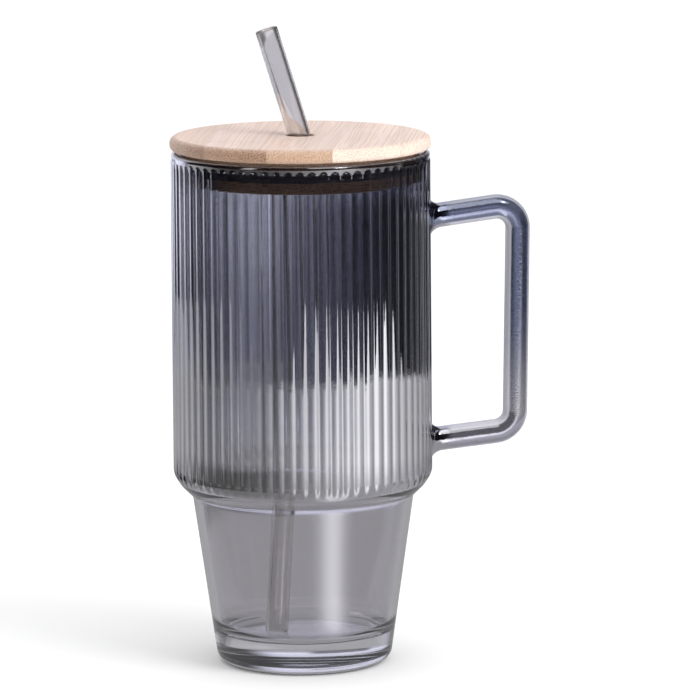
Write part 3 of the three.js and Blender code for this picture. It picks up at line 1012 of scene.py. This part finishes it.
@dataclass
class BambooLid:
    """A lid of glued bamboo strips with a plug underneath and a seal ring in the plug's groove."""

    body: GlassBody
    radius: float
    thickness: float
    hole: float = 4.85            # radius that clears the leaning straw
    top_round: float = 2.3
    low_round: float = 1.7
    hole_round: float = 0.35
    first_strip: float = 16.0
    last_strip: float = 8.2
    middle_strips: int = 3
    overcut: float = 1.0          # how far the outer strips' cuts lie beyond the lid
    glue_line: float = 0.06
    plug_depth: float = 11.3
    plug_clearance: float = 2.4
    plug_round: float = 0.8
    bore_round: float = 0.3       # where the straw's hole leaves the plug
    groove_round: float = 0.2
    glue_round: float = 0.1       # where the plug meets the strips
    glue_gap: float = 0.02        # and the gap between them
    groove_depth: float = 2.0
    seal_drop: float = 2.9        # rim down to the groove
    seal_height: float = 4.2      # height of the groove
    seal_fit: float = 0.05        # play between the ring and each side of the groove
    seal_lip: float = 1.1         # height of each lip
    seal_valley: float = 0.9      # depth of the hollow between them
    seal_clearance: float = 0.3
    seal_corner: float = 0.35     # rounds of the ring: its outer corners
    seal_soft: float = 0.3        # its lips and hollow
    seal_back: float = 0.2        # and its back
    small_steps: int = 5          # chords in each round of the plug and the ring
    columns: int = 480

    @classmethod
    def from_frame(cls, body: GlassBody) -> BambooLid:
        """Takes the flange's radius and thickness from the CAD strip that reaches furthest."""
        low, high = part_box("lid_strip_2")
        return cls(body=body, radius=high.y / MM, thickness=(high.z - low.z) / MM)

    @property
    def plug_radius(self) -> float:
        """Radius of the plug, inside the mouth by its clearance."""
        return self.body.radius - self.body.wall - self.plug_clearance

    def glue_lines(self) -> np.ndarray:
        """Where the strips' edges lie, the outer two beyond the lid.

        Returns:
            Distances from the lid's middle, across the grain.
        """
        first, last = self.first_strip - self.radius, self.radius - self.last_strip
        inner = np.linspace(first, last, self.middle_strips + 1)
        beyond = self.radius + self.overcut
        return np.concatenate([[-beyond], inner, [beyond]])

    def flange(self) -> np.ndarray:
        """The whole flange as a turned ring round the straw's hole.

        Returns:
            A grid of points: rows of its profile by columns by xyz.
        """
        foot, top = self.body.height, self.body.height + self.thickness
        profile = rounded([
            (self.hole, foot, self.hole_round),
            (self.radius, foot, self.low_round),
            (self.radius, top, self.top_round),
            (self.hole, top, self.hole_round),
        ], closed=True)
        return turned(profile, self.columns)

    def strip(self, number: int, left: float, right: float, wood: Material) -> None:
        """Cuts one strip out of the flange between two planes along the grain.

        Args:
            number: The strip's number, from 1 on the side away from the handle.
            left: Distance of its first edge from the lid's middle.
            right: Distance of its other edge.
            wood: Its bamboo.
        """
        made = grid_object(f"bamboo_strip_{number}", self.flange(), closed_rows=True)
        across = Matrix.Rotation(math.radians(GRAIN_ANGLE), 3, "Z") @ Vector((1, 0, 0))
        gap = self.glue_line / 2
        bm = bmesh.new()
        bm.from_mesh(made.data)
        for edge, side in ((left + gap, 1), (right - gap, -1)):
            whole = [*bm.verts, *bm.edges, *bm.faces]
            cut = bmesh.ops.bisect_plane(
                bm, geom=whole, plane_co=across * edge * MM, plane_no=across * side, clear_inner=True)
            rim = [part for part in cut["geom_cut"] if isinstance(part, bmesh.types.BMEdge)]
            if rim:
                for face in bmesh.ops.edgeloop_fill(bm, edges=rim)["faces"]:
                    face.smooth = False
                for part in rim:
                    part.smooth = False
        bmesh.ops.recalc_face_normals(bm, faces=bm.faces)
        bm.to_mesh(made.data)
        bm.free()
        place(made, Body.LID, f"lid_strip_{number}", Slot.BAMBOO, wood)

    def plug(self, wood: Material) -> None:
        """Turns the plug, with a groove for the seal ring and a bore for the straw.

        Args:
            wood: Its bamboo.
        """
        rim = self.body.height
        groove = self.plug_radius - self.groove_depth
        upper, lower = rim - self.seal_drop, rim - self.seal_drop - self.seal_height
        profile = rounded([
            (self.hole, rim - self.plug_depth, self.bore_round),
            (self.plug_radius, rim - self.plug_depth, self.plug_round),
            (self.plug_radius, lower, self.groove_round),
            (groove, lower, self.groove_round),
            (groove, upper, self.groove_round),
            (self.plug_radius, upper, self.groove_round),
            (self.plug_radius, rim - self.glue_gap, self.glue_round),
            (self.hole, rim - self.glue_gap, self.glue_round),
        ], self.small_steps, closed=True)
        made = grid_object("bamboo_plug", turned(profile, self.columns // 2), closed_rows=True)
        place(made, Body.LID, "lid_plug", Slot.PLUG_BAMBOO, wood)

    def seal(self, rubber: Material) -> None:
        """Turns the seal ring, with two soft lips and a hollow between them.

        Args:
            rubber: Its silicone.
        """
        inner = self.plug_radius - self.groove_depth + 2 * self.seal_fit
        outer = self.body.radius - self.body.wall - self.seal_clearance
        top = self.body.height - self.seal_drop - self.seal_fit
        foot = top - self.seal_height + 2 * self.seal_fit
        middle = (top + foot) / 2
        profile = rounded([
            (inner, foot, self.seal_back),
            (outer, foot, self.seal_corner),
            (outer, foot + self.seal_lip, self.seal_soft),
            (outer - self.seal_valley, middle, self.seal_soft),
            (outer, top - self.seal_lip, self.seal_soft),
            (outer, top, self.seal_corner),
            (inner, top, self.seal_back),
        ], self.small_steps, closed=True)
        made = grid_object("silicone_seal_ring", turned(profile, self.columns // 2), closed_rows=True)
        place(made, Body.LID, "seal_ring", Slot.SEAL, rubber)

    def build(self, woods: Sequence[Material], plug_wood: Material, rubber: Material) -> None:
        """Makes every piece of the lid.

        Args:
            woods: One bamboo for each strip.
            plug_wood: The plug's bamboo.
            rubber: The seal's silicone.
        """
        edges = self.glue_lines()
        for number, (left, right, wood) in enumerate(zip(edges, edges[1:], woods), start=1):
            self.strip(number, left, right, wood)
        self.plug(plug_wood)
        self.seal(rubber)


@dataclass
class GlassStraw:
    """A glass tube with one bend at the lid and fire-polished ends."""

    lid: BambooLid
    diameter: float = 8.0
    wall: float = 1.1
    rise: float = 37.6            # lid top to the middle of the upper end
    upper_lean: float = 17.0      # degrees from upright
    upper_heading: float = 172.0  # degrees from +X
    lower_lean: float = 4.2
    lower_heading: float = 211.0
    bend_radius: float = 20.0
    bend_depth: float = 2.0       # lid top down to the corner of the bend
    floor_gap: float = 0.3
    heading_step: float = 0.35    # half the length over which the tube's direction is taken
    leg_rows: int = 40
    bend_steps: int = 16
    lip_steps: int = 8
    columns: int = 48

    @staticmethod
    def leg(lean: float, heading: float) -> np.ndarray:
        """The unit direction of a leg of the straw.

        Args:
            lean: Degrees from upright.
            heading: Degrees from +X that it leans towards.

        Returns:
            The direction, pointing up.
        """
        tilt, turn = math.radians(lean), math.radians(heading)
        flat = math.sin(tilt)
        return np.array([flat * math.cos(turn), flat * math.sin(turn), math.cos(tilt)])

    def centreline(self) -> np.ndarray:
        """The straw's middle line.

        Returns:
            Its points, from the foot on the cup's floor to the tip.
        """
        body = self.lid.body
        lid_top = body.height + self.lid.thickness
        plug_foot = body.height - self.lid.plug_depth
        upper = self.leg(self.upper_lean, self.upper_heading)
        lower = self.leg(-self.lower_lean, self.lower_heading)
        crossing = np.array([0, 0, (lid_top + plug_foot) / 2])
        corner_z = lid_top - self.bend_depth
        foot_z = body.base + self.floor_gap + self.diameter / 2 * math.sin(math.radians(self.lower_lean))
        corner = crossing + lower * (corner_z - crossing[2]) / lower[2]
        foot = crossing + lower * (foot_z - crossing[2]) / lower[2]
        tip = corner + upper * (self.rise + self.bend_depth) / upper[2]
        return rounded([(*foot, 0), (*corner, self.bend_radius), (*tip, 0)], self.bend_steps)

    def build(self, glass: Material) -> None:
        """Makes the straw: rings out along the tube, round its lip, back inside and round the other lip.

        Args:
            glass: The finish of its surface.
        """
        path = self.centreline()
        travelled = lengths_along(path)
        total = travelled[-1]
        lip, middle = self.wall / 2, (self.diameter - self.wall) / 2
        even = np.linspace(lip, total - lip, self.leg_rows)
        legs = np.unique(np.concatenate([even, travelled[1:-1]]))
        turn = np.linspace(0, np.pi, self.lip_steps + 1)[1:-1]
        reach, side = lip * np.sin(turn), lip * np.cos(turn)
        stations = np.concatenate([legs, total - lip + reach, legs[::-1], lip - reach])
        offsets = [np.full(len(legs), lip), side, np.full(len(legs), -lip), -side]
        radii = middle + np.concatenate(offsets)
        step = self.heading_step
        tangents = unit(along(path, stations + step) - along(path, stations - step))
        normal = unit(np.cross(path[1] - path[0], path[-1] - path[-2]))
        grid = carried(along(path, stations), tangents, normal, radii, self.columns)
        made = grid_object("bent_glass_straw", grid, closed_rows=True)
        place(made, Body.STRAW, "straw", Slot.STRAW_GLASS, glass)


# Studio


def span(value: np.ndarray, edges: Edges) -> np.ndarray:
    """1 from the second edge to the third, 0 outside the first and the fourth, and eased between them."""
    return ease(value, *edges[:2]) * (1 - ease(value, *edges[2:]))


@dataclass(frozen=True)
class SoftBox:
    """A lit patch on the cards, by the degrees that it spans to the right and up from the barrel."""

    light: float
    azimuth: Edges
    elevation: Edges

    def glow(self, azimuth: np.ndarray, elevation: np.ndarray) -> np.ndarray:
        """The patch's light at each place."""
        return self.light * span(azimuth, self.azimuth) * span(elevation, self.elevation)


@dataclass
class Studio:
    """A pale floor, an even white surround, and the cards and soft boxes that the glass mirrors.

    Lights are linear. Azimuths are in degrees right of the camera, 180 being straight behind the mug.
    """

    camera_distance: float = 1800.0
    camera_height: float = 404.4
    camera_side: float = 17.08    # mm to the right of the mug's axis
    camera_azimuth: float = -8.0  # degrees from the mug's own front
    camera_pitch: float = 9.23
    camera_roll: float = -0.40
    lens: float = 263.3           # mm
    sensor: float = 36.0          # mm
    floor_half: float = 4000.0
    floor_drop: float = 0.2       # mm below the mug's foot
    floor_colour: str = "#f8f8f8"
    surround_light: float = 1.1
    lamp_at: Triple = (900.0, -700.0, 800.0)  # mm right of, beyond and above the mug
    lamp_aim: float = 150.0       # mm, the height that it points at
    lamp_power: float = 9.0       # W
    lamp_size: float = 700.0
    ceiling: float = 900.0
    card_columns: int = 720
    card_rows: int = 181
    table_drop: float = 0.1       # mm
    table_reach: tuple[Pair, ...] = (  # azimuth, mm to the table's edge
        (-180, 640), (-125, 640), (-112, 900), (-95, 900), (-75, 680), (-50, 665), (26, 665), (30, 745),
        (36, 810), (42, 900), (47, 900), (57, 750), (63, 680), (110, 650), (180, 640))
    edge_wave: float = 0.006      # how much the edge waves, as a share of its reach
    edge_waves: int = 19          # waves all the way round
    near_light: float = 0.42      # the table round the mug
    under_loss: float = 0.1       # what it lacks right under the mug
    under_edge: Pair = (30.0, 44.0)  # mm from the axis
    patch_light: float = 1.9      # a bright patch on it, to the right in front
    patch_azimuth: float = 29.0
    patch_width: float = 12.0
    patch_edge: Pair = (54.0, 72.0)  # mm from the axis
    far_edge: Pair = (230.0, 400.0)  # mm over which the far table's light takes over
    far_light: tuple[Pair, ...] = (  # azimuth, light of the far table
        (-180, 0.44), (-174, 0.28), (-152, 0.28), (-145, 0.5), (-108, 0.5), (-95, 0.36), (-85, 0.25),
        (-75, 0.12), (-60, 0.1), (-45, 0.12), (-30, 0.18), (-15, 0.3), (0, 0.5), (10, 0.7), (20, 1.0),
        (30, 1.25), (40, 1.25), (48, 1.05), (57, 0.72), (70, 0.58), (85, 0.5), (97, 0.4), (110, 0.34),
        (122, 0.25), (135, 0.2), (150, 0.36), (165, 0.44), (180, 0.44))
    cloth_reach: tuple[Pair, ...] = (  # azimuth, mm to the far edge of a dark cloth
        (-180, 0), (-128, 0), (-115, 470), (-60, 330), (-15, 210), (-5, 0), (180, 0))
    cloth_near: Pair = (160.0, 200.0)  # mm, its near edge
    cloth_blur: float = 40.0
    cloth_dark: float = 0.85
    table_hue: Triple = (0.99, 0.98, 1.0)
    room_light: Triple = (0.006, 0.006, 0.008)
    room_span: Edges = (-130, -112, 150, 172)  # azimuths of the dark room
    wall_light: Triple = (1.18, 1.19, 1.39)
    wall_foot: float = 0.45       # share of the pale wall's light at the table
    wall_rise: Pair = (5.0, 85.0)  # mm, heights over which it grows to the whole
    wall_losses: tuple[Triple, ...] = (  # share, heights over which it is lost
        (0.26, 80, 100), (0.4, 220, 320))
    flag_dark: float = 0.75       # share that a dark flag takes from the wall behind on the left
    flag_span: Edges = (-180, -174, -150, -142)
    flag_top: Pair = (80.0, 95.0)  # mm
    sight: float = 100.0          # mm, the height that elevations are seen from
    soft_boxes: tuple[SoftBox, ...] = (
        SoftBox(1.15, azimuth=(8, 14, 58, 66), elevation=(43, 46, 91, 92)),      # high on the right
        SoftBox(1.2, azimuth=(-53, -50, -42, -39), elevation=(0, 4, 40, 50)),    # tall on the left
        SoftBox(0.2, azimuth=(94, 96, 100, 102), elevation=(-92, -91, 35, 45)),  # thin, at the handle
    )
    core_light: float = 9.0       # the lamp in the box on the right
    core_at: Pair = (43.0, 48.0)   # its azimuth and elevation
    core_edge: Pair = (4.0, 6.0)   # degrees from its middle
    core_slant: float = 45.0      # degrees of elevation that its azimuths are narrowed for

    def from_camera(self, right: np.ndarray, away: np.ndarray, up: np.ndarray) -> np.ndarray:
        """Turns distances from the mug's foot, as the camera sees them, into points.

        Args:
            right: Distances to the right.
            away: Distances beyond.
            up: Heights.

        Returns:
            The points, xyz last.
        """
        turn = math.radians(self.camera_azimuth)
        x = right * math.cos(turn) - away * math.sin(turn)
        y = right * math.sin(turn) + away * math.cos(turn)
        return np.stack([x, y, up], axis=-1)

    def build(self) -> None:
        """Makes the camera, the floor, the surround, the lights and the cards."""
        self.camera()
        self.floor()
        self.surround()
        self.lights()
        self.cards()

    def camera(self) -> None:
        """Puts the camera where the photograph was taken from."""
        data = bpy.data.cameras.new("camera")
        data.lens = self.lens
        data.sensor_width = self.sensor
        made = stand("camera", data)
        at = self.from_camera(*np.array([self.camera_side, -self.camera_distance, self.camera_height]))
        turn = Matrix.Rotation(math.radians(self.camera_azimuth), 4, "Z")
        tilt = Matrix.Rotation(math.radians(90 - self.camera_pitch), 4, "X")
        roll = Matrix.Rotation(math.radians(self.camera_roll), 4, "Z")
        made.matrix_world = Matrix.Translation(Vector(at * MM)) @ turn @ tilt @ roll
        bpy.context.scene.camera = made

    def floor(self) -> None:
        """Lays a wide pale floor just under the mug."""
        signs = np.array([[-1, -1], [1, -1], [1, 1], [-1, 1]])
        points = np.insert(signs * self.floor_half, 2, -self.floor_drop, axis=1) * MM
        mesh = bpy.data.meshes.new("floor")
        mesh.from_pydata(points.tolist(), [], [(0, 1, 2, 3)])
        made = stand("floor", mesh)
        finish = Finish("matt white paper")
        finish.connect(finish.shader, {
            "Base Color": linear(self.floor_colour), "Roughness": 0.9, "Specular IOR Level": 0.1,
        })
        mesh.materials.append(finish.material)

    def surround(self) -> None:
        """Sets an even white world and a plain view transform."""
        world = bpy.data.worlds.new("white surround")
        world.use_nodes = True
        shade = world.node_tree.nodes["Background"]
        shade.inputs["Color"].default_value = linear("#ffffff")
        shade.inputs["Strength"].default_value = self.surround_light
        bpy.context.scene.world = world
        bpy.context.scene.view_settings.view_transform = "Standard"

    def lights(self) -> None:
        """Adds a soft box overhead that shapes the lid."""
        data = bpy.data.lights.new("overhead soft box", "AREA")
        data.energy = self.lamp_power
        data.size = self.lamp_size * MM
        made = stand("overhead soft box", data)
        at = Vector(self.from_camera(*np.array(self.lamp_at)) * MM)
        aim = Vector((0, 0, self.lamp_aim * MM))
        made.location = at
        made.rotation_euler = (aim - at).to_track_quat("-Z", "Y").to_euler()
        made.visible_glossy = False
        made.visible_transmission = False

    def wall_glow(self, azimuth: np.ndarray, up: np.ndarray) -> np.ndarray:
        """The light of the wall: dark in front, and pale behind but for a dark flag low on the left.

        Args:
            azimuth: Degrees right of the camera.
            up: Heights above the table.

        Returns:
            Linear RGB, one row for each place.
        """
        flag = span(azimuth, self.flag_span) * (1 - ease(up, *self.flag_top))
        rising = self.wall_foot + (1 - self.wall_foot) * ease(up, *self.wall_rise)
        pale = (1 - span(azimuth, self.room_span)) * rising * (1 - self.flag_dark * flag)
        for share, low, high in self.wall_losses:
            pale = pale * (1 - share * ease(up, low, high))
        room, wall = np.array(self.room_light), np.array(self.wall_light)
        return room + pale[..., None] * (wall - room)

    def table_glow(self, azimuth: np.ndarray, flat: np.ndarray) -> np.ndarray:
        """The light of the table: even near the mug but for a bright patch, and by azimuth further out.

        Args:
            azimuth: Degrees right of the camera.
            flat: Distances from the mug's axis.

        Returns:
            Linear RGB, one row for each place.
        """
        aside = (azimuth - self.patch_azimuth) / self.patch_width
        patch = np.exp(-aside ** 2) * ease(flat, *self.patch_edge)
        under = 1 - ease(flat, *self.under_edge)
        near = self.near_light + self.patch_light * patch - self.under_loss * under
        far = np.interp(azimuth, *zip(*self.far_light))
        cloth_edge = np.interp(azimuth, *zip(*self.cloth_reach))
        cloth = ease(cloth_edge - flat, 0, self.cloth_blur) * ease(flat, *self.cloth_near)
        light = (near + ease(flat, *self.far_edge) * (far - near)) * (1 - self.cloth_dark * cloth)
        return light[..., None] * np.array(self.table_hue)

    def glow(self, right: np.ndarray, away: np.ndarray, up: np.ndarray) -> np.ndarray:
        """The light at a place on the cards: the table's, or the brighter of the wall's and the boxes'.

        Args:
            right: Distances right of the mug.
            away: Distances beyond it.
            up: Heights above the table.

        Returns:
            Linear RGB, one row for each place.
        """
        azimuth = np.degrees(np.arctan2(right, -away))
        flat = np.hypot(right, away)
        elevation = np.degrees(np.arctan2(up - self.sight, flat))
        core_azimuth, core_elevation = self.core_at
        aside = (azimuth - core_azimuth) * math.cos(math.radians(self.core_slant))
        core = 1 - ease(np.hypot(aside, elevation - core_elevation), *self.core_edge)
        boxes = self.core_light * core + sum(box.glow(azimuth, elevation) for box in self.soft_boxes)
        standing = np.maximum(self.wall_glow(azimuth, up), boxes[..., None])
        return np.where((up > 0)[..., None], standing, self.table_glow(azimuth, flat))

    def cards(self) -> None:
        """Stands cards round the mug that only mirrored and refracted rays see.

        They are a drum: a table, a wall and a ceiling. Each is a grid over the angle round the mug and
        the share of the way out along the table's reach, or up the wall.
        """
        azimuth = np.linspace(-180, 180, self.card_columns, endpoint=False)
        turn = np.radians(azimuth)
        wave = 1 + self.edge_wave * np.sin(self.edge_waves * turn)
        reach = np.interp(azimuth, *zip(*self.table_reach)) * wave
        share = np.linspace(0, 1, self.card_rows)[:, None]
        sides = {
            "table": (share * reach, 0 * share - self.table_drop),
            "wall": (0 * share + reach, share * self.ceiling),
            "ceiling": (share * reach, 0 * share + self.ceiling),
        }
        finish = self.card_finish()
        for name, (out, up) in sides.items():
            grid = self.from_camera(out * np.sin(turn), -out * np.cos(turn), up + 0 * out)
            self.card(f"{name}_card", grid, finish)

    def card_finish(self) -> Material:
        """Builds a material that gives off the light painted on the card's points.

        Returns:
            The finished material.
        """
        finish = Finish("lit studio card")
        glow = finish.add("VertexColor", {"layer_name": "glow"})
        light = finish.add("Emission", inputs={"Color": glow.outputs["Color"]})
        finish.tree.links.new(light.outputs[0], finish.output.inputs[0])
        return finish.material

    def card(self, name: str, grid: np.ndarray, finish: Material) -> None:
        """Makes one card from a grid of points and paints its light on each.

        Args:
            name: The card's name.
            grid: Its points in millimetres.
            finish: The card's material.
        """
        made = grid_object(name, grid)
        mesh = made.data
        points = np.empty(3 * len(mesh.vertices), np.float32)
        mesh.vertices.foreach_get("co", points)
        x, y, up = points.reshape(-1, 3).T / MM
        turn = math.radians(self.camera_azimuth)
        right = x * math.cos(turn) + y * math.sin(turn)
        away = y * math.cos(turn) - x * math.sin(turn)
        light = np.hstack([self.glow(right, away, up), np.ones((len(up), 1))])
        layer = mesh.color_attributes.new("glow", "FLOAT_COLOR", "POINT")
        layer.data.foreach_set("color", light.astype(np.float32).ravel())
        mesh.materials.append(finish)
        made.visible_camera = False
        made.visible_diffuse = False
        made.visible_shadow = False


def main() -> None:
    """Builds the studio and every piece of the mug."""
    logging.basicConfig(level=logging.INFO, format="%(name)s: %(message)s")
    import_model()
    Studio().build()
    plating = PlatedGlass("smoke-plated soda-lime glass").material()
    bare = SmokedGlass("bare smoked soda-lime glass").material()
    body = GlassBody.from_frame()
    body.build(plating, bare)
    GlassHandle(body).build(PlatedRod("smoke-plated glass rod").material())
    lid = BambooLid.from_frame(body)
    plug_wood = Bamboo("planed bamboo plug", pith="#e1bca2", end_pith="#d9b092", bundle="#b98f70")
    lid.build(strip_woods(), plug_wood.material(), Silicone("grey silicone").material())
    GlassStraw(lid).build(DrawnGlass("drawn grey glass tube").material())


if __name__ == "__main__":
    main()
